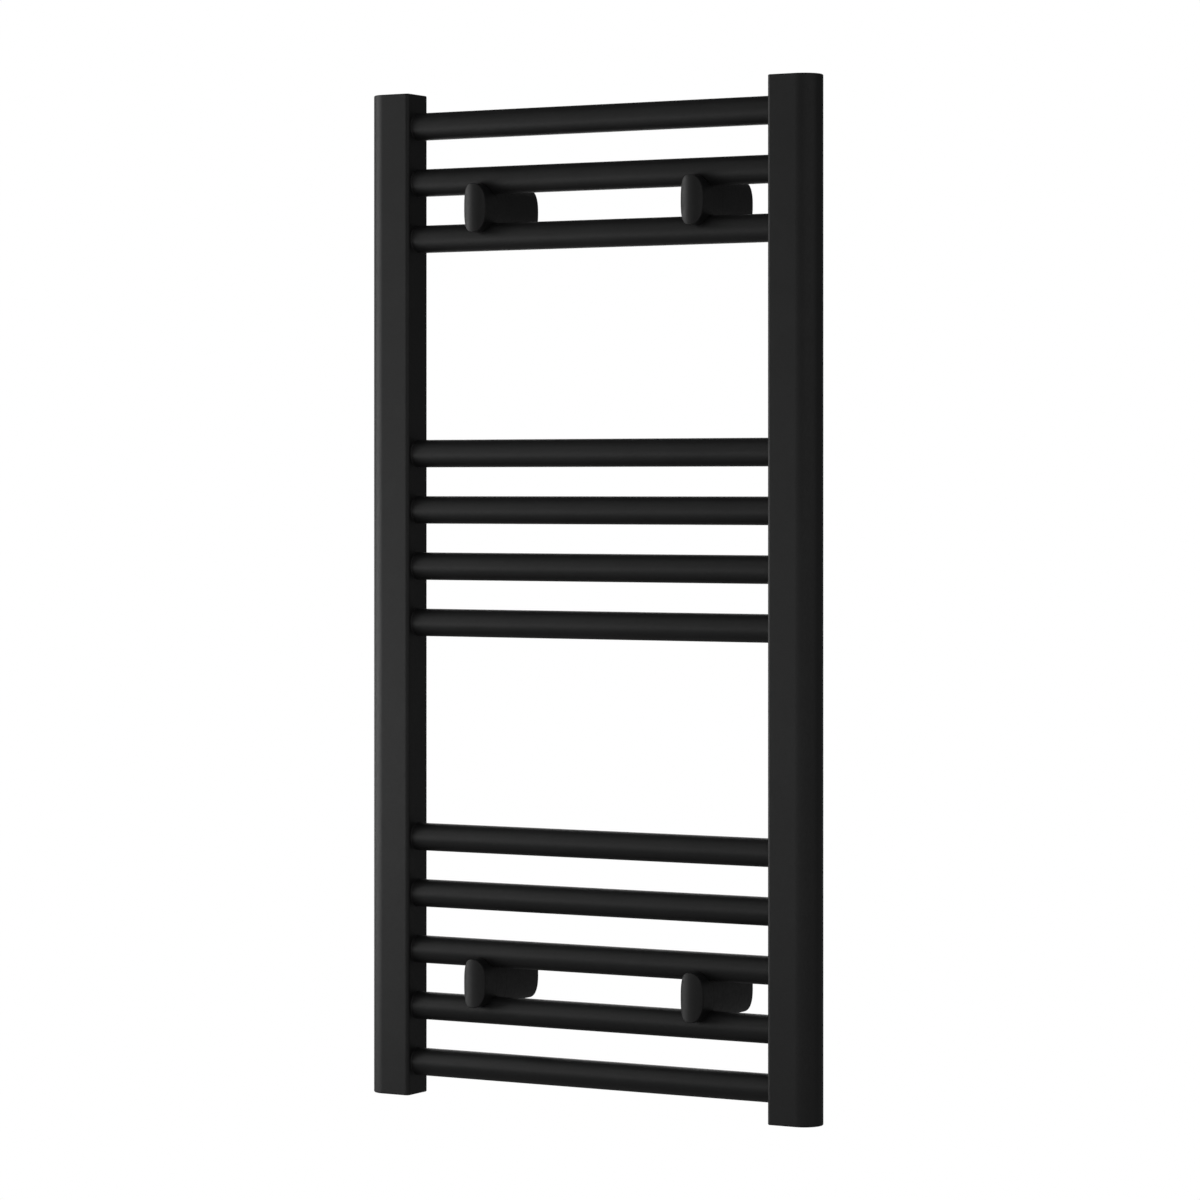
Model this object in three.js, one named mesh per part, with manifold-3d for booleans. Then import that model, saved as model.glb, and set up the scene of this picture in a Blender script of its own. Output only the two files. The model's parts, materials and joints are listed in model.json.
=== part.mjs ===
// Ladder towel warmer: two D-section posts, twelve round bars in three groups, four stand-off wall brackets,
// threaded end plates, an air vent and a blanking plug.
// Millimetres. X runs along the bars, +Y points into the wall, +Z is up.
// The origin is the middle of the rail's height and width, on the wall's surface.

import * as THREE from 'three';
import { mergeVertices } from 'three/addons/utils/BufferGeometryUtils.js';
import Module from 'manifold-3d';

const wasm = await Module();
wasm.setup();

// Overall size
const HEIGHT = 800;
const WIDTH = 400;
const WALL_DISTANCE = 65;              // wall to the axis plane of the bars, brackets fully closed
const GAP = 0.3;                       // clearance between touching pieces

// Posts
const POST_WIDTH = 39;
const POST_DEPTH = 30;
const POST_WALL = 1.5;
const POST_CORNER = 3;                 // round of the two corners beside the bars
const POST_INNER_X = WIDTH / 2 - POST_WIDTH;
const POST_MIDDLE_X = WIDTH / 2 - POST_WIDTH / 2;

// Bars
const BAR_RADIUS = 11;
const BAR_WALL = 1.2;
const BAR_PITCH = 45;
const BAR_END_MARGIN = 26;             // first and last bar axis to the end of the post
const BAR_GROUPS = [3, 4, 5];          // bars in each group, from the top
const BAR_INSERTION = 5;               // how far a bar's end reaches past the post's inner face
const BAR_HOLE_RADIUS = BAR_RADIUS + GAP;

// Brackets
const BRACKET_X = 97.5;
const BRACKET_BARS = [[2, 3], [10, 11]];   // each row of brackets grips these two bars, counted from the top
const OUTLINE_POWER = 2.5;             // superellipse power of the oval outlines
const BODY_OUTLINE = [10, 19.3];       // half width and half height of the bracket's oval body
const STEM_OUTLINE = [6.8, 13];        // the saddle's stem, which slides in the wall cup
const CROWN_RADIUS = 14.5;             // the cap's front is part of an upright cylinder
const CROWN_DEPTH = 21.3;              // from the bars' axis plane to the front of the crown
const CLAMP_GAP = 0.8;                 // open joint between cap and rear saddle
const SADDLE_BACK = 14.4;
const CUP_FRONT = SADDLE_BACK + 0.4;
const CUP_FLOOR = 4;
const STEM_END = WALL_DISTANCE - CUP_FLOOR - 3;
const CLAMP_SCREW = { shank: 2.5, head: 4.3, headLength: 5, socket: 2.3, socketDepth: 2.8 };
const CLAMP_SCREW_SEAT = 20;           // depth of the head's seat in the saddle's stem
const CLAMP_SCREW_TIP = -13;
const STEM_BORE_RADIUS = 5;
const GRUB_RADIUS = 2.5;
const GRUB_DEPTH = 24;                 // depth behind the bars' axis plane
const GRUB_LENGTH = 5;
const WALL_SCREW_HOLE_RADIUS = 2.75;
const WALL_SCREW_SINK_RADIUS = 5.2;

// Threaded end plates and the plugs in them
const PLATE_THICKNESS = 4;
const PLATE_RECESS = 0.6;              // the plate's face lies this far inside the post's end
const PORT_RADIUS = 10.5;              // half-inch pipe thread
const PORT_BOSS_RADIUS = 12.8;
const PORT_DEPTH = 15;
const PLUG_RADIUS = PORT_RADIUS - GAP;
const PLUG_LENGTH = 12;
const PLUG_RECESS = 1;
const PLUG_HEX_RADIUS = 12 / Math.sqrt(3);   // corner radius of a 12 mm hexagon socket
const PLUG_HEX_DEPTH = 5;
const SEAL_GROOVE = { top: 2.6, height: 2.4, radius: 8.2 };   // below the plug's top face
const SPINDLE_RADIUS = 2.9;
const SPINDLE_SQUARE = 5;
const SPINDLE_NECK_RADIUS = 1.5;
const SPINDLE_SEAL_HEIGHT = 1.1;

const ROUND_SEGMENTS = 20;
const SMALL_SEGMENTS = 16;
const POST_ARC_SEGMENTS = 12;
const OUTLINE_SEGMENTS = 32;
const CROWN_RINGS = 5;

const materials = {
  blackCoat: new THREE.MeshStandardMaterial({ color: 0x1d1e1e, roughness: 0.5, metalness: 0.1 }),
  blackCast: new THREE.MeshStandardMaterial({ color: 0x1c1c1d, roughness: 0.45, metalness: 0.1 }),
  nickel: new THREE.MeshStandardMaterial({ color: 0xb9b6ae, roughness: 0.3, metalness: 1 }),
  zincSteel: new THREE.MeshStandardMaterial({ color: 0x9a9c9e, roughness: 0.35, metalness: 1 }),
  rubber: new THREE.MeshStandardMaterial({ color: 0x151515, roughness: 0.8, metalness: 0 }),
};

// ---------- solids ----------

// Closed three.js geometry as a solid that can be cut and joined.
function solidOf(geometry) {
  const bare = geometry.clone();
  bare.deleteAttribute('normal');
  bare.deleteAttribute('uv');
  const merged = mergeVertices(bare, 1e-4);
  const corners = Array.from(merged.index.array);
  const kept = [];
  for (let i = 0; i < corners.length; i += 3) {
    const [a, b, c] = corners.slice(i, i + 3);
    if (a !== b && b !== c && c !== a) kept.push(a, b, c);
  }
  return new wasm.Manifold(new wasm.Mesh({
    numProp: 3,
    vertProperties: merged.attributes.position.array,
    triVerts: Uint32Array.from(kept),
  }));
}

function geometryOf(solid) {
  const { vertProperties, triVerts } = solid.getMesh();
  const geometry = new THREE.BufferGeometry();
  geometry.setAttribute('position', new THREE.BufferAttribute(vertProperties, 3));
  geometry.setIndex(new THREE.BufferAttribute(triVerts, 1));
  geometry.computeVertexNormals();
  return geometry;
}

// Turned body about the Z axis: a profile of [radius, z] points, going up the outside.
function turned(profile, segments = ROUND_SEGMENTS) {
  const points = profile.map(([radius, z]) => new THREE.Vector2(radius, z));
  return new THREE.LatheGeometry(points, segments).rotateX(Math.PI / 2);
}

function rod(radius, from, to, segments = ROUND_SEGMENTS) {
  return turned([[0, from], [radius, from], [radius, to], [0, to]], segments);
}

function ring(inner, outer, from, to, segments = ROUND_SEGMENTS) {
  return turned([[inner, from], [outer, from], [outer, to], [inner, to], [inner, from]], segments);
}

const alongX = (geometry) => geometry.rotateY(Math.PI / 2);
const alongY = (geometry) => geometry.rotateX(-Math.PI / 2);   // the profile's +Z becomes +Y
const placed = (geometry, x, y, z) => solidOf(geometry.translate(x, y, z));

// ---------- posts, bars and end plates ----------

// D-shaped outline in plan: flat towards the bars, half round outside. side is -1 for left, 1 for right.
function postOutline(side, inset) {
  const half = POST_DEPTH / 2 - inset;
  const corner = POST_CORNER - inset;
  const arcX = side * (WIDTH / 2 - POST_DEPTH / 2);
  const cornerX = side * (POST_INNER_X + POST_CORNER);
  const cornerY = side * (half - corner);
  const turnStart = side > 0 ? 0 : Math.PI;
  const outline = new THREE.Shape();
  outline.moveTo(cornerX, side * -half);
  outline.lineTo(arcX, side * -half);
  outline.absarc(arcX, 0, half, turnStart - Math.PI / 2, turnStart + Math.PI / 2);
  outline.lineTo(cornerX, side * half);
  outline.absarc(cornerX, cornerY, corner, turnStart + Math.PI / 2, turnStart + Math.PI);
  outline.lineTo(side * (POST_INNER_X + inset), -cornerY);
  outline.absarc(cornerX, -cornerY, corner, turnStart + Math.PI, turnStart + 1.5 * Math.PI);
  return outline;
}

function postPrism(side, inset, from, to) {
  const settings = { depth: to - from, bevelEnabled: false, curveSegments: POST_ARC_SEGMENTS };
  return placed(new THREE.ExtrudeGeometry(postOutline(side, inset), settings), 0, -WALL_DISTANCE, from);
}

function barHeights() {
  const count = BAR_GROUPS.reduce((sum, bars) => sum + bars, 0);
  const pitches = count - BAR_GROUPS.length;
  const groupGap = (HEIGHT - 2 * BAR_END_MARGIN - pitches * BAR_PITCH) / (BAR_GROUPS.length - 1);
  const heights = [];
  let z = HEIGHT / 2 - BAR_END_MARGIN;
  for (const bars of BAR_GROUPS) {
    for (let i = 0; i < bars; i += 1) heights.push(z - i * BAR_PITCH);
    z -= (bars - 1) * BAR_PITCH + groupGap;
  }
  return heights;
}

function post(side, heights) {
  const past = 1;
  let solid = postPrism(side, 0, -HEIGHT / 2, HEIGHT / 2)
    .subtract(postPrism(side, POST_WALL, -HEIGHT / 2 - past, HEIGHT / 2 + past));
  for (const z of heights) {
    const drill = alongX(rod(BAR_HOLE_RADIUS, -POST_WALL - past, POST_WALL + past));
    solid = solid.subtract(placed(drill, side * POST_INNER_X, -WALL_DISTANCE, z));
  }
  return solid;
}

function bar(z) {
  const halfLength = POST_INNER_X + BAR_INSERTION;
  const tube = alongX(ring(BAR_RADIUS - BAR_WALL, BAR_RADIUS, -halfLength, halfLength));
  return placed(tube, 0, -WALL_DISTANCE, z);
}

// Plate with a threaded boss, closing one end of a post. up is 1 for the top, -1 for the bottom.
function endPlate(side, up) {
  const face = HEIGHT / 2 - PLATE_RECESS;
  const back = face - PLATE_THICKNESS;
  const [low, high] = up > 0 ? [back, face] : [-face, -back];
  const boss = [face - PORT_DEPTH, face - PLATE_THICKNESS / 2].map((z) => up * z).sort((a, b) => a - b);
  const x = side * POST_MIDDLE_X;
  return postPrism(side, POST_WALL + GAP, low, high)
    .add(placed(rod(PORT_BOSS_RADIUS, ...boss), x, -WALL_DISTANCE, 0))
    .subtract(placed(rod(PORT_RADIUS, -PORT_DEPTH - 2, PORT_DEPTH + 2), x, -WALL_DISTANCE, up * face));
}

// ---------- air vent and blanking plug (top ports) ----------

const PLUG_TOP = HEIGHT / 2 - PLATE_RECESS - PLUG_RECESS;
const PLUG_BOTTOM = PLUG_TOP - PLUG_LENGTH;
const GROOVE_TOP = PLUG_TOP - SEAL_GROOVE.top;
const GROOVE_BOTTOM = GROOVE_TOP - SEAL_GROOVE.height;
const SPINDLE_BORE = SPINDLE_RADIUS + GAP;
const SPINDLE_SEAT = PLUG_BOTTOM + 2.2;     // bottom of the spindle's bore
const BLEED_RADIUS = 1;

function plugBody(side) {
  const core = SEAL_GROOVE.radius;
  const body = turned([
    [0, PLUG_BOTTOM], [PLUG_RADIUS, PLUG_BOTTOM], [PLUG_RADIUS, GROOVE_BOTTOM], [core, GROOVE_BOTTOM],
    [core, GROOVE_TOP], [PLUG_RADIUS, GROOVE_TOP], [PLUG_RADIUS, PLUG_TOP], [0, PLUG_TOP],
  ]);
  const socket = rod(PLUG_HEX_RADIUS, PLUG_TOP - PLUG_HEX_DEPTH, PLUG_TOP + 1, 6);
  return placed(body, side * POST_MIDDLE_X, -WALL_DISTANCE, 0)
    .subtract(placed(socket, side * POST_MIDDLE_X, -WALL_DISTANCE, 0));
}

function ventPlug(side) {
  const bore = turned([
    [0, PLUG_BOTTOM - 1], [BLEED_RADIUS, PLUG_BOTTOM - 1], [BLEED_RADIUS, SPINDLE_SEAT - 0.8],
    [SPINDLE_BORE, SPINDLE_SEAT + 0.6], [SPINDLE_BORE, PLUG_TOP], [0, PLUG_TOP],
  ], SMALL_SEGMENTS);
  return plugBody(side).subtract(placed(bore, side * POST_MIDDLE_X, -WALL_DISTANCE, 0));
}

function plugSeal(side) {
  const section = ring(SEAL_GROOVE.radius + GAP, PLUG_RADIUS, GROOVE_BOTTOM + GAP, GROOVE_TOP - GAP);
  return placed(section, side * POST_MIDDLE_X, -WALL_DISTANCE, 0);
}

const NECK_BOTTOM = SPINDLE_SEAT + 3;
const NECK_TOP = NECK_BOTTOM + SPINDLE_SEAL_HEIGHT + 2 * GAP;

function ventSpindle(side) {
  const shoulder = PLUG_TOP - PLUG_HEX_DEPTH + 0.2;
  const stem = turned([
    [0, SPINDLE_SEAT - 0.2], [0.6, SPINDLE_SEAT - 0.2], [SPINDLE_RADIUS, SPINDLE_SEAT + 1.3],
    [SPINDLE_RADIUS, NECK_BOTTOM], [SPINDLE_NECK_RADIUS, NECK_BOTTOM], [SPINDLE_NECK_RADIUS, NECK_TOP],
    [SPINDLE_RADIUS, NECK_TOP], [SPINDLE_RADIUS, shoulder], [0, shoulder],
  ], SMALL_SEGMENTS);
  const key = rod(SPINDLE_SQUARE / Math.SQRT2, shoulder - 0.2, PLUG_TOP - 0.6, 4).rotateZ(Math.PI / 4);
  return placed(stem, side * POST_MIDDLE_X, -WALL_DISTANCE, 0)
    .add(placed(key, side * POST_MIDDLE_X, -WALL_DISTANCE, 0));
}

function spindleSeal(side) {
  const [low, high] = [NECK_BOTTOM + GAP, NECK_TOP - GAP];
  const section = ring(SPINDLE_NECK_RADIUS + GAP, SPINDLE_RADIUS, low, high, SMALL_SEGMENTS);
  return placed(section, side * POST_MIDDLE_X, -WALL_DISTANCE, 0);
}

// ---------- brackets ----------
// Each is built with its axis along Y, its middle at x = 0, z = 0 and the bars' axis plane at y = 0.

// Body with an oval outline from a profile of [share of the outline, depth] points.
// depthAt(x, depth) gives the final depth of a point.
function oval(profile, [halfWidth, halfHeight], depthAt = (x, depth) => depth) {
  const geometry = alongY(turned(profile, OUTLINE_SEGMENTS));
  const position = geometry.attributes.position;
  for (let i = 0; i < position.count; i += 1) {
    const [x, depth, z] = [position.getX(i), position.getY(i), position.getZ(i)];
    const angle = Math.atan2(z, x);
    const across = (Math.abs(Math.cos(angle)) / halfWidth) ** OUTLINE_POWER;
    const upwards = (Math.abs(Math.sin(angle)) / halfHeight) ** OUTLINE_POWER;
    const reach = Math.hypot(x, z) * (across + upwards) ** (-1 / OUTLINE_POWER);
    const newX = reach * Math.cos(angle);
    position.setXYZ(i, newX, depthAt(newX, depth), reach * Math.sin(angle));
  }
  return geometry;
}

// The two bars' room in a clamp half.
function barGrooves(solid) {
  const reach = 2 * BODY_OUTLINE[0];
  for (const z of [-BAR_PITCH / 2, BAR_PITCH / 2]) {
    solid = solid.subtract(placed(alongX(rod(BAR_HOLE_RADIUS, -reach, reach)), 0, 0, z));
  }
  return solid;
}

// Oval body with flat ends.
function ovalRod(outline, from, to) {
  return oval([[0, from], [1, from], [1, to], [0, to]], outline);
}

function frontCap() {
  const rings = Array.from({ length: CROWN_RINGS + 1 }, (_, i) => [i / CROWN_RINGS, -CROWN_DEPTH]);
  const back = -CLAMP_GAP / 2;
  const arcAt = (x) => CROWN_RADIUS - CROWN_DEPTH - Math.sqrt(CROWN_RADIUS ** 2 - x ** 2);
  const crownAt = (x, depth) => (depth > -CROWN_DEPTH / 2 ? depth : arcAt(x));
  const block = oval([...rings, [1, back], [0, back]], BODY_OUTLINE, crownAt);
  const screwHole = alongY(rod(CLAMP_SCREW.shank + GAP, CLAMP_SCREW_TIP - 0.6, 1));
  return barGrooves(solidOf(block)).subtract(solidOf(screwHole));
}

function rearSaddle() {
  const screwHole = alongY(rod(CLAMP_SCREW.shank + GAP, -1, STEM_END));
  const headBore = alongY(rod(STEM_BORE_RADIUS, CLAMP_SCREW_SEAT, STEM_END + 1));
  return barGrooves(solidOf(ovalRod(BODY_OUTLINE, CLAMP_GAP / 2, SADDLE_BACK)))
    .add(solidOf(ovalRod(STEM_OUTLINE, SADDLE_BACK - 1, STEM_END)))
    .subtract(solidOf(screwHole))
    .subtract(solidOf(headBore));
}

function clampScrew() {
  const { shank, head, headLength, socket, socketDepth } = CLAMP_SCREW;
  const seat = CLAMP_SCREW_SEAT + GAP;
  const end = seat + headLength;
  const body = alongY(turned([
    [0, CLAMP_SCREW_TIP], [shank, CLAMP_SCREW_TIP], [shank, seat], [head, seat], [head, end], [0, end],
  ], SMALL_SEGMENTS));
  return solidOf(body).subtract(solidOf(alongY(rod(socket, end - socketDepth, end + 1, 6))));
}

function wallCup() {
  const floor = WALL_DISTANCE - CUP_FLOOR;
  const pocketOutline = STEM_OUTLINE.map((half) => half + GAP);
  const past = WALL_DISTANCE + 1;
  const screwHole = alongY(turned([
    [0, floor - 1], [WALL_SCREW_SINK_RADIUS, floor - 1], [WALL_SCREW_SINK_RADIUS, floor],
    [WALL_SCREW_HOLE_RADIUS, floor + 2.6], [WALL_SCREW_HOLE_RADIUS, past], [0, past],
  ], SMALL_SEGMENTS));
  const grubHole = rod(GRUB_RADIUS + GAP, -BODY_OUTLINE[1] - 2, -STEM_OUTLINE[1] / 2, SMALL_SEGMENTS);
  return solidOf(ovalRod(BODY_OUTLINE, CUP_FRONT, WALL_DISTANCE))
    .subtract(solidOf(ovalRod(pocketOutline, CUP_FRONT - 1, floor)))
    .subtract(solidOf(screwHole))
    .subtract(placed(grubHole, 0, GRUB_DEPTH, 0));
}

function grubScrew() {
  const tip = -STEM_OUTLINE[1] - GAP;
  const body = placed(rod(GRUB_RADIUS, tip - GRUB_LENGTH, tip, SMALL_SEGMENTS), 0, GRUB_DEPTH, 0);
  const socket = placed(rod(1.45, tip - GRUB_LENGTH - 1, tip - GRUB_LENGTH + 2.6, 6), 0, GRUB_DEPTH, 0);
  return body.subtract(socket);
}

// ---------- the rail ----------

function named(name, solid, material) {
  const mesh = new THREE.Mesh(geometryOf(solid), material);
  mesh.name = name;
  return mesh;
}

function bracket(place, x, z) {
  const group = new THREE.Group();
  group.position.set(x, -WALL_DISTANCE, z);
  group.add(
    named(`bracket_cap_${place}`, frontCap(), materials.blackCast),
    named(`bracket_saddle_${place}`, rearSaddle(), materials.blackCast),
    named(`clamp_screw_${place}`, clampScrew(), materials.zincSteel),
    named(`wall_cup_${place}`, wallCup(), materials.blackCast),
    named(`grub_screw_${place}`, grubScrew(), materials.zincSteel),
  );
  return group;
}

function buildRail() {
  const rail = new THREE.Group();
  const heights = barHeights();
  const sides = { left: -1, right: 1 };

  for (const [name, side] of Object.entries(sides)) {
    rail.add(named(`post_${name}`, post(side, heights), materials.blackCoat));
    rail.add(named(`end_plate_top_${name}`, endPlate(side, 1), materials.blackCoat));
    rail.add(named(`end_plate_bottom_${name}`, endPlate(side, -1), materials.blackCoat));
  }
  heights.forEach((z, i) => {
    rail.add(named(`bar_${String(i + 1).padStart(2, '0')}`, bar(z), materials.blackCoat));
  });

  rail.add(named('vent_plug', ventPlug(sides.right), materials.nickel));
  rail.add(named('vent_plug_seal', plugSeal(sides.right), materials.rubber));
  rail.add(named('vent_spindle', ventSpindle(sides.right), materials.nickel));
  rail.add(named('vent_spindle_seal', spindleSeal(sides.right), materials.rubber));
  rail.add(named('blanking_plug', plugBody(sides.left), materials.nickel));
  rail.add(named('blanking_plug_seal', plugSeal(sides.left), materials.rubber));

  BRACKET_BARS.forEach(([above, below], row) => {
    const z = (heights[above - 1] + heights[below - 1]) / 2;
    for (const [name, side] of Object.entries(sides)) {
      rail.add(bracket(`${row === 0 ? 'upper' : 'lower'}_${name}`, side * BRACKET_X, z));
    }
  });
  return rail;
}

export default buildRail();
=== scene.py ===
"""Looks of a black ladder towel rail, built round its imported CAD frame.

Metres, in the frame's own axes: X runs along the bars, +Y points into the wall and +Z is up.
"""

import json
import math

import bmesh
import bpy
from mathutils import Matrix, Vector


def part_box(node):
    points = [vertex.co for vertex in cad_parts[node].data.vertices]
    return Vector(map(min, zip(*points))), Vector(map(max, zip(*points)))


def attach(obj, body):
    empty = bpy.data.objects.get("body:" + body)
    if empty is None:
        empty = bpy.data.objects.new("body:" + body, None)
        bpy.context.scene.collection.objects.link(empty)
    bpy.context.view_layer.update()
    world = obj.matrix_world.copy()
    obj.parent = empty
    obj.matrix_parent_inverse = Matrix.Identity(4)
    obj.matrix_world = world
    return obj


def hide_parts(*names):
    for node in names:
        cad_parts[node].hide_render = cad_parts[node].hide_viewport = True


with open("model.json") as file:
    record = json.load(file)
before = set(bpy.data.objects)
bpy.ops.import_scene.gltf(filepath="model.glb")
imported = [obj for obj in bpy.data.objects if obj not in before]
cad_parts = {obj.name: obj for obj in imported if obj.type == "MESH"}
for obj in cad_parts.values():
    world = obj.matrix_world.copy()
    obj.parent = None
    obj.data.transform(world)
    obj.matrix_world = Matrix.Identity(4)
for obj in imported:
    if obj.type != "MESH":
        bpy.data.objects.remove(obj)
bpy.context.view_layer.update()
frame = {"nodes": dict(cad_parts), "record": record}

MM = 0.001


def middle(node):
    low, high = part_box(node)
    return (low + high) / 2


def extent(node):
    low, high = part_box(node)
    return high - low


# ---------- sizes ----------

AXIS_Y = middle("bar_01").y                   # the plane of the bars' axes
BARS = sorted(node for node in frame["nodes"] if node.startswith("bar_"))
PLACES = [node[len("wall_cup_"):] for node in frame["nodes"] if node.startswith("wall_cup_")]
SIDES = {"left": -1, "right": 1}

POST_INNER_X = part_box("post_right")[0].x
POST_OUTER_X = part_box("post_right")[1].x
POST_MIDDLE_X = middle("post_right").x
POST_HALF_DEPTH = extent("post_right").y / 2
POST_HALF_HEIGHT = extent("post_right").z / 2
POST_WALL = 1.5 * MM
POST_CORNER = 3.0 * MM                        # round of the two corners beside the bars
POST_RIM = 0.9 * MM                           # round of a post's coated ends
RIM = 0.35 * MM                               # round of other sawn and turned ends

BAR_RADIUS = extent("bar_01").z / 2
BAR_WALL = 1.2 * MM
BAR_HOLE_RADIUS = BAR_RADIUS + 0.3 * MM
FILLET = 1.0 * MM                             # brazed fillet round each end of a bar

PLATE_THICKNESS = 4 * MM                      # of the end plates that close the posts
PLATE_EDGE = 0.3 * MM                         # chamfer round a plate's face
BOSS_RADIUS = 12.8 * MM
PIPE_MAJOR = 10.48 * MM                       # G 1/2 thread
PIPE_DEPTH = 1.16 * MM
PIPE_PITCH = 25.4 / 14 * MM
LEAD_IN = 0.8 * MM                            # chamfer at the mouth of a pipe port

RING_GAP = 0.3 * MM                           # between a seal ring and the sides of its groove
PIPE_RING = 0.9 * MM                          # half thickness of the plugs' seal rings
SPINDLE_RING = 0.55 * MM                      # half thickness of the spindle's seal ring
PLUG_GROOVE = 8.2 * MM                        # radius of the floor of a plug's seal groove
PLUG_SOCKET = 6 * MM                          # half the width of a plug's 12 mm hexagon
PLUG_SOCKET_DEPTH = 5 * MM
SPINDLE_BORE = 3.2 * MM
SPINDLE_RADIUS = 2.9 * MM
SPINDLE_NECK = 1.5 * MM
SPINDLE_SQUARE = 2.5 * MM                     # half the width of the key square
SPINDLE_SQUARE_HEIGHT = 4.2 * MM
VENT_HOLE = 1 * MM                            # radius of the hole that the spindle's cone closes

OUTLINE_POWER = 2.5                           # superellipse power of the brackets' oval outlines
STEM_OVAL = (6.8 * MM, 13 * MM)               # half width and half height of the saddle's stem
CROWN_RADIUS = 14.5 * MM                      # the cap's front is part of an upright cylinder
CREASE = 0.8 * MM                             # round between the crown and the cap's side
SEAM = 0.06 * MM                              # half of the closed joint between two castings
SEAM_EDGE = 0.15 * MM                         # round of the castings' edges along a joint
STEM_BORE = 5 * MM                            # radius of the stem's bore for the clamp screw's head
STEM_GAP = 0.3 * MM                           # between the stem and its pocket in the wall cup
CUP_FLOOR = 4 * MM
WALL_HOLE = 2.75 * MM                         # radius of the wall screw's hole
WALL_SCREW_HEAD = 5.2 * MM                    # radius of that hole's countersink
COUNTERSINK = 2.6 * MM                        # depth of that countersink
SCREW_SHANK = 2.5 * MM                        # radius of the clamp screw's thread
SCREW_HOLE = SCREW_SHANK + 0.3 * MM
SCREW_SEAT = 20 * MM                          # from the bars' plane back to the clamp screw's seat
SCREW_SOCKET = 2 * MM                         # half the width of the clamp screw's 4 mm hexagon
GRUB_SOCKET = 1.25 * MM                       # half the width of the grub screw's 2.5 mm hexagon
METRIC_PITCH = 0.8 * MM                       # thread of the clamp and grub screws
METRIC_DEPTH = 0.45 * MM
BRACKET_SEGMENTS = 128

FLOOR_DROP = 0.05                             # from the posts' open ends down to the floor
CAMERA_PLACE = (1.6812, AXIS_Y - 2.9455, 0.0845)
CAMERA_YAW = 29.62                            # degrees
CAMERA_LENS = 130                             # mm, on a 36 mm sensor
CAMERA_SHIFT = -0.0928                        # frames the rail, while the level camera keeps it upright
LIT_WORLD = 0.058                             # how brightly the white backdrop lights the rail
LIT_FLOOR = 0.13                              # and the white floor
LOW_TARGET = (0, AXIS_Y, 0.15)                # where the low cards point
STANDING_BOXES = {                            # azimuth, elevation, distance, width, height, power
    "far_left_box": (-75, 0, 2.4, 1.5, 3.2, 21.8),
    "left_box": (-60, 0, 2.4, 1.2, 3.2, 9.8),
    "front_left_box": (-15, 0, 3.2, 1.4, 3.2, 2.45),
    "right_box": (45, 0, 3.0, 1.5, 3.2, 4.65),
    "far_right_box": (80, 0, 2.6, 1.6, 3.2, 5.4),
    "high_box": (0, 55, 2.6, 1.8, 1.2, 3.2),
    "back_left_box": (-155, 5, 2.6, 1.8, 2.4, 19),
}
LOW_CARDS = {                                 # place, width, height, power
    "low_card": ((0, -1.3, -0.43), 2.2, 0.9, 2.6),
    "low_left_card": ((-1.15, -0.6, -0.43), 1.4, 0.9, 4.6),
    "low_back_card": ((-0.9, 1.2, -0.4), 2.0, 0.9, 6),
}


# ---------- mesh tools ----------

def around(count):
    """Angles of that many points evenly spaced round a circle."""
    return [math.tau * k / count for k in range(count)]


def linked(name, mesh):
    """Object made from a bmesh, which is freed."""
    data = bpy.data.meshes.new(name)
    mesh.to_mesh(data)
    mesh.free()
    made = bpy.data.objects.new(name, data)
    bpy.context.scene.collection.objects.link(made)
    return made


def lofted(name, rings, closed=False):
    """Solid through rings of points. A ring of one point is a tip.
    closed joins the last ring to the first."""
    mesh = bmesh.new()
    made = [[mesh.verts.new(point) for point in ring] for ring in rings]
    pairs = list(zip(made, made[1:]))
    if closed:
        pairs.append((made[-1], made[0]))
    for a, b in pairs:
        for i in range(max(len(a), len(b))):
            j = i + 1
            corners = (a[i % len(a)], a[j % len(a)], b[j % len(b)], b[i % len(b)])
            mesh.faces.new(list(dict.fromkeys(corners)))
    if not closed:
        for ring in (made[0], made[-1]):
            if len(ring) > 2:
                mesh.faces.new(ring)
    bmesh.ops.recalc_face_normals(mesh, faces=mesh.faces)
    return linked(name, mesh)


def rounded(corners, closed=True, steps=4):
    """Outline through (a, b, radius) corners, each turned into an arc of its radius."""
    points = []
    for i, (a, b, radius) in enumerate(corners):
        here = Vector((a, b))
        if radius == 0 or (not closed and i in (0, len(corners) - 1)):
            points.append(here)
            continue
        before = (Vector(corners[i - 1][:2]) - here).normalized()
        after = (Vector(corners[(i + 1) % len(corners)][:2]) - here).normalized()
        half = before.angle(after) / 2
        centre = here + (before + after).normalized() * radius / math.sin(half)
        spoke = here + before * radius / math.tan(half) - centre
        turn = (math.pi - 2 * half) * (-1 if before.cross(after) > 0 else 1)
        count = steps[i] if isinstance(steps, (list, tuple)) else steps
        for k in range(count + 1):
            points.append(centre + Matrix.Rotation(turn * k / count, 2) @ spoke)
    return points


def polygon(sides):
    """Shape of a regular polygon for turned(): its apothem is 1 and it has a corner at angle 0."""
    wedge = math.tau / sides

    def shape(angle, height):
        return 1 / math.cos(angle % wedge - wedge / 2)
    return shape


def thread(radius, depth, pitch):
    """Shape of a right-hand screw thread for turned(), of that crest radius and depth."""
    def shape(angle, height):
        phase = (height / pitch - angle / math.tau) % 1
        valley = min(1, max(0, abs(2 * phase - 1) * 1.5 - 0.25))
        return 1 - depth / radius * valley
    return shape


def threaded(radius, depth, pitch, start, end):
    """Profile points of a thread that fades in and out at its ends."""
    count = max(2, round(abs(end - start) / pitch * 8))
    rows = []
    for i in range(count + 1):
        height = start + (end - start) * i / count
        fade = min(1, i / 5, (count - i) / 5)
        rows.append((radius, height, thread(radius, depth * fade, pitch)))
    return rows


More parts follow.
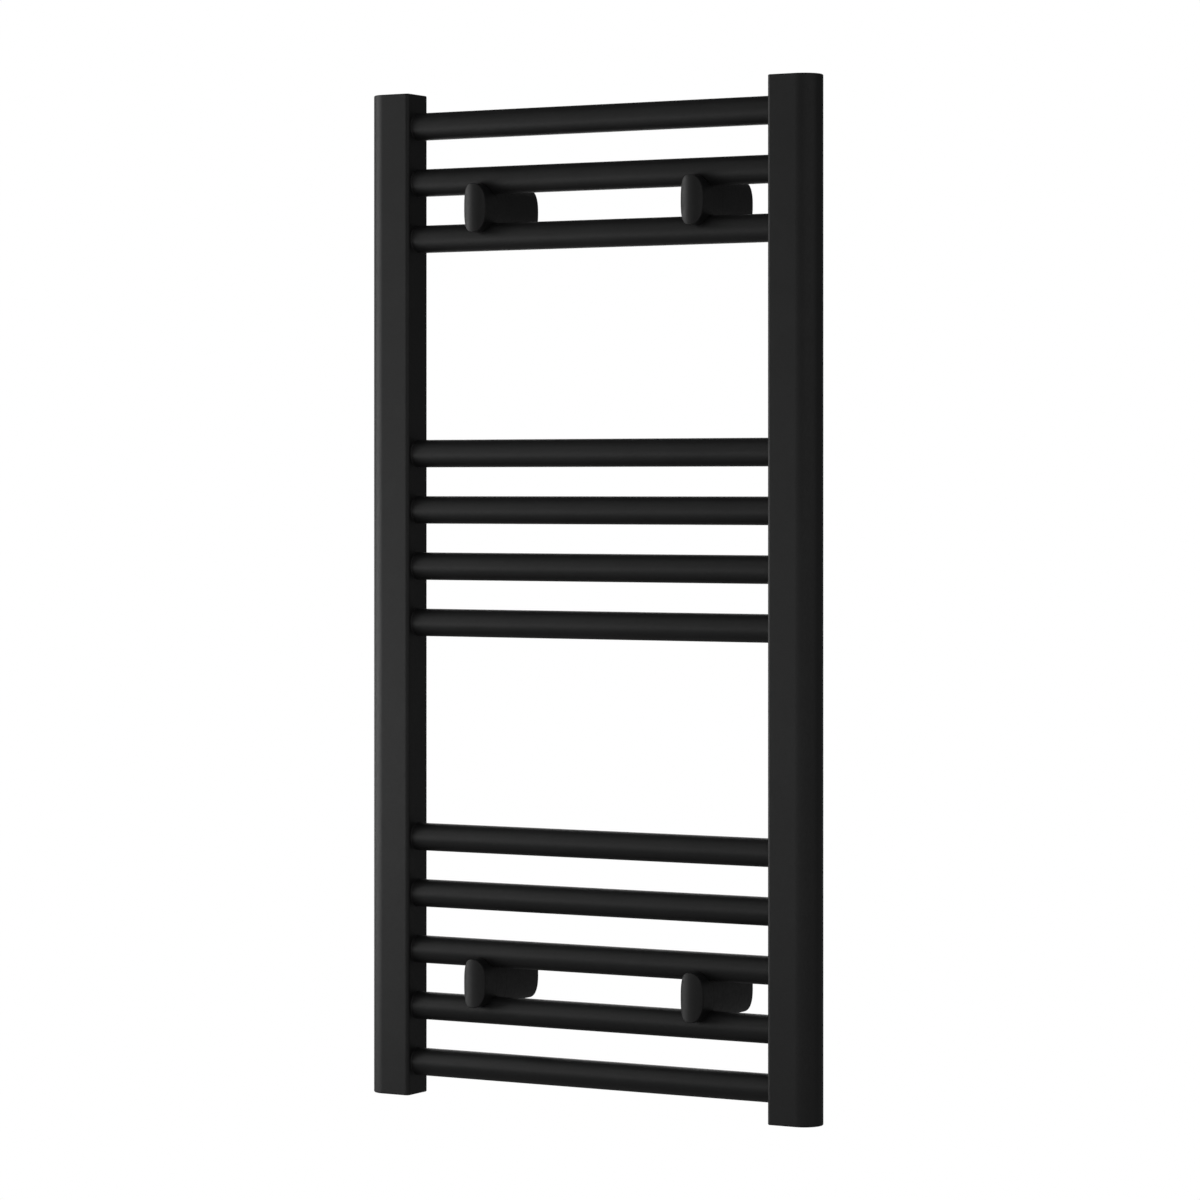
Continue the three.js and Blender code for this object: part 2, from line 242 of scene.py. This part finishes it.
def turned(name, profile, segments=48, closed=False):
    """Solid turned about Z from (radius, height) points.
    A point's third item shapes its ring by angle and height."""
    rings = []
    for radius, height, *shape in profile:
        if radius == 0:
            rings.append([(0, 0, height)])
            continue
        ring = []
        for angle in around(segments):
            reach = radius * (shape[0](angle, height) if shape else 1)
            ring.append((reach * math.cos(angle), reach * math.sin(angle), height))
        rings.append(ring)
    return lofted(name, rings, closed)


def moved(piece, matrix):
    piece.data.transform(matrix)
    return piece


def placed(piece, x=0.0, y=0.0, z=0.0):
    return moved(piece, Matrix.Translation((x, y, z)))


def along_x(piece):
    return moved(piece, Matrix.Rotation(math.pi / 2, 4, "Y"))


def along_y(piece):
    return moved(piece, Matrix.Rotation(-math.pi / 2, 4, "X"))


def settled(piece):
    """The piece with its modifiers worked into its mesh."""
    graph = bpy.context.evaluated_depsgraph_get()
    data = bpy.data.meshes.new_from_object(piece.evaluated_get(graph))
    piece.modifiers.clear()
    old = piece.data
    piece.data = data
    bpy.data.meshes.remove(old)
    return piece


def combined(piece, tools, operation="DIFFERENCE"):
    """Cuts the tools from the piece, or joins them to it, and removes them."""
    for tool in tools:
        step = piece.modifiers.new("combine", "BOOLEAN")
        step.operation = operation
        step.solver = "EXACT"
        step.object = tool
    settled(piece)
    for tool in tools:
        bpy.data.meshes.remove(tool.data)
    return piece


def shaded(piece, angle=32):
    """Smooth shading that breaks at edges sharper than angle, in degrees."""
    piece.data.shade_smooth()
    piece.data.set_sharp_from_angle(angle=math.radians(angle))
    weigh = piece.modifiers.new("weigh", "WEIGHTED_NORMAL")
    weigh.keep_sharp = True
    return settled(piece)


# ---------- materials ----------

def fresh_nodes(holder):
    """(add, link) that make nodes and links in the emptied tree of a material or world."""
    holder.use_nodes = True
    holder.node_tree.nodes.clear()
    return holder.node_tree.nodes.new, holder.node_tree.links.new


def surface(name, dark, light, rough, grains, metallic=0.0, stretch=(1, 1, 1), specular=0.5):
    """Procedural finish. Colour wanders from dark to light and roughness over the rough range.
    grains lists (size, height) of the bumps, in metres, coarse to fine."""
    material = bpy.data.materials.new(name)
    add, link = fresh_nodes(material)
    output = add("ShaderNodeOutputMaterial")
    shader = add("ShaderNodeBsdfPrincipled")
    shader.inputs["Metallic"].default_value = metallic
    shader.inputs["Specular IOR Level"].default_value = specular
    link(shader.outputs["BSDF"], output.inputs["Surface"])

    where = add("ShaderNodeTexCoord")
    scaled = add("ShaderNodeMapping")
    scaled.inputs["Scale"].default_value = stretch
    link(where.outputs["Object"], scaled.inputs["Vector"])

    def noise(size, detail=3.0):
        made = add("ShaderNodeTexNoise")
        made.inputs["Scale"].default_value = 1 / size
        made.inputs["Detail"].default_value = detail
        link(scaled.outputs["Vector"], made.inputs["Vector"])
        return made

    colour = add("ShaderNodeValToRGB")
    for element, position, shade in zip(colour.color_ramp.elements, (0.3, 0.7), (dark, light)):
        element.position = position
        element.color = (*shade, 1)
    link(noise(28 * MM, 4.0).outputs["Fac"], colour.inputs["Fac"])
    link(colour.outputs["Color"], shader.inputs["Base Color"])

    spread = add("ShaderNodeMapRange")
    spread.inputs["From Min"].default_value = 0.3
    spread.inputs["From Max"].default_value = 0.7
    spread.inputs["To Min"].default_value = rough[0]
    spread.inputs["To Max"].default_value = rough[1]
    link(noise(grains[0][0] * 1.3).outputs["Fac"], spread.inputs["Value"])
    link(spread.outputs["Result"], shader.inputs["Roughness"])

    normal = None
    for size, height in grains:
        bump = add("ShaderNodeBump")
        bump.inputs["Distance"].default_value = height
        bump.inputs["Strength"].default_value = 1.0
        link(noise(size).outputs["Fac"], bump.inputs["Height"])
        if normal:
            link(normal, bump.inputs["Normal"])
        normal = bump.outputs["Normal"]
    link(normal, shader.inputs["Normal"])
    return material


def grey(value, warmth=0.0):
    return (value * (1 + warmth), value, value * (1 - warmth))


MATERIALS = {
    "black_coat": surface(
        "black_powder_coat", grey(0.0125, -0.01), grey(0.0160, -0.01), (0.43, 0.53),
        [(1.6 * MM, 0.012 * MM), (0.35 * MM, 0.006 * MM)]),
    "black_cast": surface(
        "black_coated_casting", grey(0.0115, -0.01), grey(0.0155, -0.01), (0.42, 0.54),
        [(2.2 * MM, 0.007 * MM), (0.4 * MM, 0.005 * MM)]),
    "nickel": surface(
        "satin_nickel", grey(0.42, 0.05), grey(0.55, 0.05), (0.24, 0.38),
        [(0.5 * MM, 0.002 * MM), (0.12 * MM, 0.001 * MM)], metallic=1.0, stretch=(1, 1, 4)),
    "zinc_steel": surface(
        "zinc_plated_steel", (0.30, 0.32, 0.34), (0.44, 0.45, 0.46), (0.30, 0.46),
        [(0.6 * MM, 0.003 * MM), (0.15 * MM, 0.001 * MM)], metallic=1.0),
    "rubber": surface(
        "sealing_rubber", grey(0.006), grey(0.011), (0.62, 0.78),
        [(0.7 * MM, 0.01 * MM), (0.2 * MM, 0.004 * MM)], specular=0.35),
}


# ---------- joining the pieces to the frame ----------

BODY_OF = {
    node: body
    for body, nodes in frame["record"]["behaviour"]["bodies"].items()
    for node in nodes
}


def stands_for(piece, node, slot):
    """The piece shows in the place of a CAD node, moves with its body and takes the slot's finish."""
    piece.name = f"{node}_finished"
    piece.data.name = piece.name
    piece.data.materials.clear()
    piece.data.materials.append(MATERIALS[slot])
    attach(piece, BODY_OF[node])
    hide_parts(node)
    return piece


def copied(piece, name):
    made = bpy.data.objects.new(name, piece.data.copy())
    bpy.context.scene.collection.objects.link(made)
    return made


# ---------- posts, bars and end plates ----------

def post_ring(side, inset, z):
    """D-shaped loop at height z: two small corners beside the bars and a half round outside."""
    inner = POST_INNER_X + inset
    outer = POST_OUTER_X - inset
    half = POST_HALF_DEPTH - inset
    corner = max(POST_CORNER - inset, 0.25 * MM)
    bulge = half * 0.999                      # a hair short of half, so the two quarter rounds don't meet
    outline = rounded(
        [(inner, -half, corner), (outer, -half, bulge), (outer, half, bulge), (inner, half, corner)],
        steps=[8, 24, 24, 8])
    return [(side * x, AXIS_Y + y, z) for x, y in outline]


def post(side):
    """Tube with a hole for each bar in its inner side."""
    top = POST_HALF_HEIGHT
    section = rounded([
        (0, -top, POST_RIM), (0, top, POST_RIM), (POST_WALL, top, RIM), (POST_WALL, -top, RIM)])
    tube = lofted("post", [post_ring(side, inset, z) for inset, z in section], closed=True)
    reach = 2 * POST_WALL
    drills = []
    for node in BARS:
        drill = along_x(turned("drill", [(BAR_HOLE_RADIUS, -reach), (BAR_HOLE_RADIUS, reach)], 64))
        drills.append(placed(drill, side * POST_INNER_X, AXIS_Y, middle(node).z))
    return shaded(combined(tube, drills))


def bar(node):
    """Tube with a concave brazed fillet where it enters each post."""
    end = extent(node).x / 2
    face = POST_INNER_X
    bore = BAR_RADIUS - BAR_WALL
    toe = (BAR_RADIUS + FILLET + 0.1 * MM, face + 0.3 * MM)
    half = [
        (BAR_RADIUS, face, FILLET), (*toe, 0), (BAR_RADIUS, toe[1], 0),
        (BAR_RADIUS, end, RIM), (bore, end, RIM),
    ]
    other = [(radius, -along, arc) for radius, along, arc in reversed(half)]
    profile = rounded(half + other, steps=6)
    tube = along_x(turned(node, profile, 72, closed=True))
    return shaded(placed(tube, 0, AXIS_Y, middle(node).z))


def pipe_port(z, up, depth):
    """Cutter for a female pipe thread from a face at height z. It reaches past both ends of the port."""
    past = 1 * MM
    mouth = PIPE_MAJOR + LEAD_IN
    rows = [(0, past), (mouth, past), (mouth, 0.05 * MM)]
    rows += threaded(PIPE_MAJOR, PIPE_DEPTH, PIPE_PITCH, -LEAD_IN, -depth - past)
    rows.append((0, rows[-1][1]))
    cutter = turned("port", [(radius, up * height, *shape) for radius, height, *shape in rows])
    return placed(cutter, 0, 0, z)


def end_plate(node, side, up):
    """Plate with a threaded boss inside one end of a post."""
    low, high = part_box(node)
    face, back = (high.z, low.z) if up > 0 else (low.z, high.z)
    inset = POST_WALL - 0.03 * MM             # bites into the post's wall, so no gap shows
    rows = [
        (inset, face - up * PLATE_THICKNESS), (inset, face - up * PLATE_EDGE), (inset + PLATE_EDGE, face)]
    plate = lofted(node, [post_ring(side, *row) for row in rows])
    root = face - up * PLATE_THICKNESS / 2
    profile = rounded(
        [(0, root, 0), (BOSS_RADIUS, root, 0), (BOSS_RADIUS, back, RIM), (0, back, 0)], closed=False)
    boss = placed(turned("boss", profile, 64), side * POST_MIDDLE_X, AXIS_Y)
    port = placed(pipe_port(face, up, abs(face - back)), side * POST_MIDDLE_X, AXIS_Y)
    combined(plate, [boss], "UNION")
    return shaded(combined(plate, [port]))


def build_ladder():
    for side_name, side in SIDES.items():
        stands_for(post(side), f"post_{side_name}", "black_coat")
        for end, up in (("top", 1), ("bottom", -1)):
            node = f"end_plate_{end}_{side_name}"
            stands_for(end_plate(node, side, up), node, "black_coat")
    for node in BARS:
        stands_for(bar(node), node, "black_coat")


# ---------- vent and blanking plug ----------

def ring_seal(node, section):
    """O-ring as wide as its CAD node's box. section is the radius of its round section."""
    centre_line = extent(node).x / 2 - section
    circle = [
        (centre_line + section * math.cos(angle), section * math.sin(angle)) for angle in around(16)]
    return shaded(placed(turned(node, circle, 64, closed=True), *middle(node)), 60)


def plug(node, groove_node, bored):
    """Pipe plug with a seal groove and a 12 mm hexagon socket; the vent's is bored for its spindle."""
    low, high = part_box(node)
    groove_low, groove_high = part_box(groove_node)
    groove_bottom, groove_top = groove_low.z - RING_GAP, groove_high.z + RING_GAP
    radius = (high.x - low.x) / 2
    floor = high.z - PLUG_SOCKET_DEPTH
    hexagon = polygon(6)
    rows = [
        (PIPE_MAJOR - PIPE_DEPTH - 0.2 * MM, low.z),
        *threaded(radius, PIPE_DEPTH, PIPE_PITCH, low.z + 0.6 * MM, groove_bottom - RING_GAP),
        (PLUG_GROOVE, groove_bottom), (PLUG_GROOVE, groove_top),
        (radius - 0.15 * MM, groove_top), (radius, groove_top + RING_GAP / 2),
        (radius, high.z - 0.5 * MM), (radius - 0.4 * MM, high.z),
        (PLUG_SOCKET + 1.3 * MM, high.z), (PLUG_SOCKET, high.z - 0.8 * MM, hexagon),
        (PLUG_SOCKET, floor, hexagon),
    ]
    if bored:
        seat = low.z + 2.8 * MM
        rows += [
            (SPINDLE_BORE, floor), (SPINDLE_BORE, seat), (VENT_HOLE, seat - 1.4 * MM), (VENT_HOLE, low.z)]
    else:
        rows = [(0, low.z), *rows, (0, floor - 0.8 * MM)]
    centre = middle(node)
    return shaded(placed(turned(node, rows, 48, closed=bored), centre.x, centre.y))


def vent_spindle(node, seal_node):
    """Valve spindle with a cone tip, a neck for its seal and a 5 mm square to turn."""
    low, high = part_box(node)
    neck_low, neck_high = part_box(seal_node)
    neck_bottom, neck_top = neck_low.z - RING_GAP, neck_high.z + RING_GAP
    shoulder = high.z - SPINDLE_SQUARE_HEIGHT
    square = polygon(4)
    rows = [
        (0, low.z), (0.6 * MM, low.z), (SPINDLE_RADIUS, low.z + 1.5 * MM), (SPINDLE_RADIUS, neck_bottom),
        (SPINDLE_NECK, neck_bottom), (SPINDLE_NECK, neck_top), (SPINDLE_RADIUS, neck_top),
        (SPINDLE_RADIUS, shoulder - 0.2 * MM), (SPINDLE_RADIUS - 0.2 * MM, shoulder),
        (SPINDLE_SQUARE - 0.1 * MM, shoulder, square), (SPINDLE_SQUARE, shoulder + 0.1 * MM, square),
        (SPINDLE_SQUARE, high.z - 0.4 * MM, square), (SPINDLE_SQUARE - 0.4 * MM, high.z, square),
        (0, high.z),
    ]
    centre = middle(node)
    spindle = moved(turned(node, rows, 48), Matrix.Rotation(math.pi / 4, 4, "Z"))
    return shaded(placed(spindle, centre.x, centre.y))


def build_plugs():
    stands_for(plug("vent_plug", "vent_plug_seal", True), "vent_plug", "nickel")
    stands_for(plug("blanking_plug", "blanking_plug_seal", False), "blanking_plug", "nickel")
    for node in ("vent_plug_seal", "blanking_plug_seal"):
        stands_for(ring_seal(node, PIPE_RING), node, "rubber")
    stands_for(vent_spindle("vent_spindle", "vent_spindle_seal"), "vent_spindle", "nickel")
    stands_for(ring_seal("vent_spindle_seal", SPINDLE_RING), "vent_spindle_seal", "rubber")


# ---------- brackets ----------
# Each pattern is made once, with its middle at x = 0, z = 0 and the bars' axis plane at y = 0.
# It is then copied to the four places.

SAMPLE = PLACES[0]
BODY_OVAL = (extent(f"wall_cup_{SAMPLE}").x / 2, extent(f"wall_cup_{SAMPLE}").z / 2)
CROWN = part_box(f"bracket_cap_{SAMPLE}")[0].y - AXIS_Y
CUP_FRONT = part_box(f"wall_cup_{SAMPLE}")[0].y - AXIS_Y
STEM_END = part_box(f"bracket_saddle_{SAMPLE}")[1].y - AXIS_Y
WALL = -AXIS_Y
BAR_HALF_PITCH = (middle("bar_02").z - middle("bar_03").z) / 2


def crown_depth(x):
    """Depth of the crown at x, on an upright cylinder."""
    return CROWN + CROWN_RADIUS - math.sqrt(CROWN_RADIUS ** 2 - x ** 2)


def oval_ring(outline, inset, depth, share=1.0):
    """Ring of a superellipse, inset from its outline or scaled to a share of it.
    depth may be a function of x."""
    ring = []
    for angle in around(BRACKET_SEGMENTS):
        across = (abs(math.cos(angle)) / outline[0]) ** OUTLINE_POWER
        upwards = (abs(math.sin(angle)) / outline[1]) ** OUTLINE_POWER
        reach = share * ((across + upwards) ** (-1 / OUTLINE_POWER) - inset)
        x = reach * math.cos(angle)
        ring.append((x, depth(x) if callable(depth) else depth, reach * math.sin(angle)))
    return ring


def round_ring(radius, depth):
    if radius == 0:
        return [(0, depth, 0)]
    return [
        (radius * math.cos(angle), depth, radius * math.sin(angle)) for angle in around(BRACKET_SEGMENTS)]


def oval_edges(outline, corners):
    """Rings of an oval body from its (inset, depth, round) edges.
    The first and last corners only give directions."""
    return [oval_ring(outline, inset, depth) for inset, depth in rounded(corners, closed=False)[1:-1]]


def crown_rings():
    """Rings from the middle of the crown to the cap's side, with a rounded crease."""
    rings = [oval_ring(BODY_OVAL, CREASE, crown_depth, i / 16) for i in range(1, 17)]
    for i in range(1, 7):
        swing = math.pi / 2 * i / 6
        drop = CREASE * (1 - math.cos(swing))
        rings.append(oval_ring(BODY_OVAL, CREASE * (1 - math.sin(swing)), lambda x: crown_depth(x) + drop))
    return rings


def bar_grooves():
    reach = 2 * BODY_OVAL[0]
    radius = BAR_RADIUS + 0.05 * MM
    return [
        placed(along_x(turned("groove", [(radius, -reach), (radius, reach)], 128)), z=z)
        for z in (-BAR_HALF_PITCH, BAR_HALF_PITCH)
    ]


def front_cap():
    """Cap with a blind hole a little deeper than the clamp screw's tip."""
    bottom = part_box(f"clamp_screw_{SAMPLE}")[0].y - AXIS_Y - 0.6 * MM
    rings = [[(0, CROWN, 0)], *crown_rings()]
    rings += oval_edges(BODY_OVAL, [(0, -5 * MM, 0), (0, -SEAM, SEAM_EDGE), (5 * MM, -SEAM, 0)])
    rings += [round_ring(SCREW_HOLE, -SEAM), round_ring(SCREW_HOLE, bottom), round_ring(0, bottom)]
    return shaded(combined(lofted("cap", rings), bar_grooves()), 40)


def rear_saddle():
    """Rear half of the clamp, and its stem with the clamp screw's stepped hole."""
    back = CUP_FRONT - SEAM
    rings = oval_edges(BODY_OVAL, [
        (5 * MM, SEAM, 0), (0, SEAM, SEAM_EDGE), (0, back, SEAM_EDGE), (2 * MM, back, 0)])
    rings += oval_edges(STEM_OVAL, [
        (-1 * MM, back, 0), (0, back, 0.1 * MM), (0, STEM_END, 0.5 * MM), (1 * MM, STEM_END, 0)])
    rings += [
        round_ring(STEM_BORE, STEM_END), round_ring(STEM_BORE, SCREW_SEAT),
        round_ring(SCREW_HOLE, SCREW_SEAT), round_ring(SCREW_HOLE, SEAM),
    ]
    return shaded(combined(lofted("saddle", rings, closed=True), bar_grooves()), 40)


def wall_cup():
    """Cup with a countersunk hole for the wall screw and a drilled hole for the grub screw."""
    floor = WALL - CUP_FLOOR
    pocket = [half + STEM_GAP for half in STEM_OVAL]
    rings = oval_edges(BODY_OVAL, [
        (2 * MM, CUP_FRONT, 0), (0, CUP_FRONT, SEAM_EDGE), (0, WALL, RIM), (2 * MM, WALL, 0)])
    rings += [
        round_ring(WALL_HOLE, WALL), round_ring(WALL_HOLE, floor + COUNTERSINK),
        round_ring(WALL_SCREW_HEAD, floor),
    ]
    rings += oval_edges(pocket, [
        (2 * MM, floor, 0), (0, floor, 0.5 * MM), (0, CUP_FRONT, 0.3 * MM), (-2 * MM, CUP_FRONT, 0)])
    cup = lofted("cup", rings, closed=True)
    low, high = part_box(f"grub_screw_{SAMPLE}")
    radius = (high.x - low.x) / 2 + 0.05 * MM
    drill = turned("drill", [(radius, -2 * STEM_OVAL[1]), (radius, -STEM_OVAL[1] / 2)], 48)
    return shaded(combined(cup, [placed(drill, y=(low.y + high.y) / 2 - AXIS_Y)]))


def clamp_screw():
    """Socket-head screw along Y, tip towards the front cap."""
    low, high = (corner.y - AXIS_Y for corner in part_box(f"clamp_screw_{SAMPLE}"))
    head = extent(f"clamp_screw_{SAMPLE}").x / 2
    hexagon = polygon(6)
    rows = [
        (0, low), (SCREW_SHANK - 0.7 * MM, low),
        *threaded(SCREW_SHANK, METRIC_DEPTH, METRIC_PITCH, low + 0.5 * MM, SCREW_SEAT - 12 * MM),
        (SCREW_SHANK, SCREW_SEAT - 0.3 * MM), (SCREW_SHANK + 0.3 * MM, SCREW_SEAT),
        (head - 0.2 * MM, SCREW_SEAT), (head, SCREW_SEAT + 0.2 * MM),
        (head, high - 0.6 * MM), (head - 0.5 * MM, high),
        (SCREW_SOCKET + 0.5 * MM, high), (SCREW_SOCKET, high - 0.4 * MM, hexagon),
        (SCREW_SOCKET, high - 2.8 * MM, hexagon), (0, high - 3.4 * MM),
    ]
    return shaded(along_y(turned("screw", rows, 48)))


def grub_screw():
    """Cup-point grub screw along Z, with its socket at the bottom."""
    low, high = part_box(f"grub_screw_{SAMPLE}")
    centre = middle(f"wall_cup_{SAMPLE}")
    bottom, top = low.z - centre.z, high.z - centre.z
    radius = (high.x - low.x) / 2
    hexagon = polygon(6)
    rows = [
        (0, bottom + 3 * MM), (GRUB_SOCKET, bottom + 2.6 * MM, hexagon),
        (GRUB_SOCKET, bottom + 0.25 * MM, hexagon), (GRUB_SOCKET + 0.3 * MM, bottom),
        (radius - 0.4 * MM, bottom),
        *threaded(radius, METRIC_DEPTH, METRIC_PITCH, bottom + 0.4 * MM, top - 1.2 * MM),
        (1.3 * MM, top), (0.7 * MM, top), (0, top - 0.6 * MM),
    ]
    screw = turned("grub", rows, 48)
    return shaded(placed(screw, y=(low.y + high.y) / 2 - AXIS_Y))


def build_brackets():
    makers = {
        "bracket_cap": (front_cap, "black_cast"),
        "bracket_saddle": (rear_saddle, "black_cast"),
        "wall_cup": (wall_cup, "black_cast"),
        "clamp_screw": (clamp_screw, "zinc_steel"),
        "grub_screw": (grub_screw, "zinc_steel"),
    }
    for kind, (make, slot) in makers.items():
        pattern = make()
        for place in PLACES:
            spot = middle(f"wall_cup_{place}")
            piece = placed(copied(pattern, kind), spot.x, AXIS_Y, spot.z)
            stands_for(piece, f"{kind}_{place}", slot)
        bpy.data.meshes.remove(pattern.data)


# ---------- camera, light and floor ----------

def soft_light(name, place, target, width, height, power):
    """Rectangle of light at a place, facing the target and hidden from the camera."""
    data = bpy.data.lights.new(name, "AREA")
    data.shape = "RECTANGLE"
    data.size = width
    data.size_y = height
    data.energy = power
    lamp = bpy.data.objects.new(name, data)
    bpy.context.scene.collection.objects.link(lamp)
    lamp.location = place
    lamp.visible_camera = False
    lamp.rotation_euler = (Vector(target) - lamp.location).to_track_quat("-Z", "Y").to_euler()


def standing_box(name, azimuth, elevation, distance, width, height, power):
    """Soft box round the rail, in degrees: azimuth 0 is in front of it and -90 is on its left."""
    turn, rise = math.radians(azimuth), math.radians(elevation)
    away = distance * math.cos(rise)
    place = (away * math.sin(turn), AXIS_Y - away * math.cos(turn), distance * math.sin(rise))
    soft_light(name, place, (0, AXIS_Y, 0), width, height, power)


def camera():
    data = bpy.data.cameras.new("camera")
    data.lens = CAMERA_LENS
    data.sensor_width = 36
    data.shift_y = CAMERA_SHIFT
    data.clip_end = 50
    made = bpy.data.objects.new("camera", data)
    bpy.context.scene.collection.objects.link(made)
    made.location = CAMERA_PLACE
    made.rotation_euler = (math.radians(90), 0, math.radians(CAMERA_YAW))
    bpy.context.scene.camera = made


def white_glow(holder, shader, output, cast):
    """Fills a material or world with a glow that looks white but lights the rail only as much as cast."""
    add, link = fresh_nodes(holder)
    mix = add("ShaderNodeMixShader")
    link(add("ShaderNodeLightPath").outputs["Is Camera Ray"], mix.inputs["Fac"])
    for socket, value in ((1, cast), (2, 1.0)):
        glow = add(shader)
        glow.inputs["Color"].default_value = (value, value, value, 1)
        link(glow.outputs[0], mix.inputs[socket])
    link(mix.outputs["Shader"], add(output).inputs["Surface"])
    return holder


def white_world(cast):
    world = bpy.data.worlds.new("studio")
    bpy.context.scene.world = white_glow(world, "ShaderNodeBackground", "ShaderNodeOutputWorld", cast)


def white_floor(cast):
    """Wide floor just under the posts' open ends."""
    mesh = bmesh.new()
    bmesh.ops.create_grid(mesh, x_segments=8, y_segments=8, size=12)
    plane = placed(linked("floor", mesh), z=-POST_HALF_HEIGHT - FLOOR_DROP)
    paint = bpy.data.materials.new("pale_floor")
    plane.data.materials.append(white_glow(paint, "ShaderNodeEmission", "ShaderNodeOutputMaterial", cast))


def build_studio():
    camera()
    white_world(LIT_WORLD)
    white_floor(LIT_FLOOR)
    for name, numbers in STANDING_BOXES.items():
        standing_box(name, *numbers)
    for name, (place, *numbers) in LOW_CARDS.items():
        soft_light(name, place, LOW_TARGET, *numbers)
    bpy.context.scene.view_settings.view_transform = "Standard"
    bpy.context.scene.view_settings.look = "None"


build_studio()
build_ladder()
build_plugs()
build_brackets()
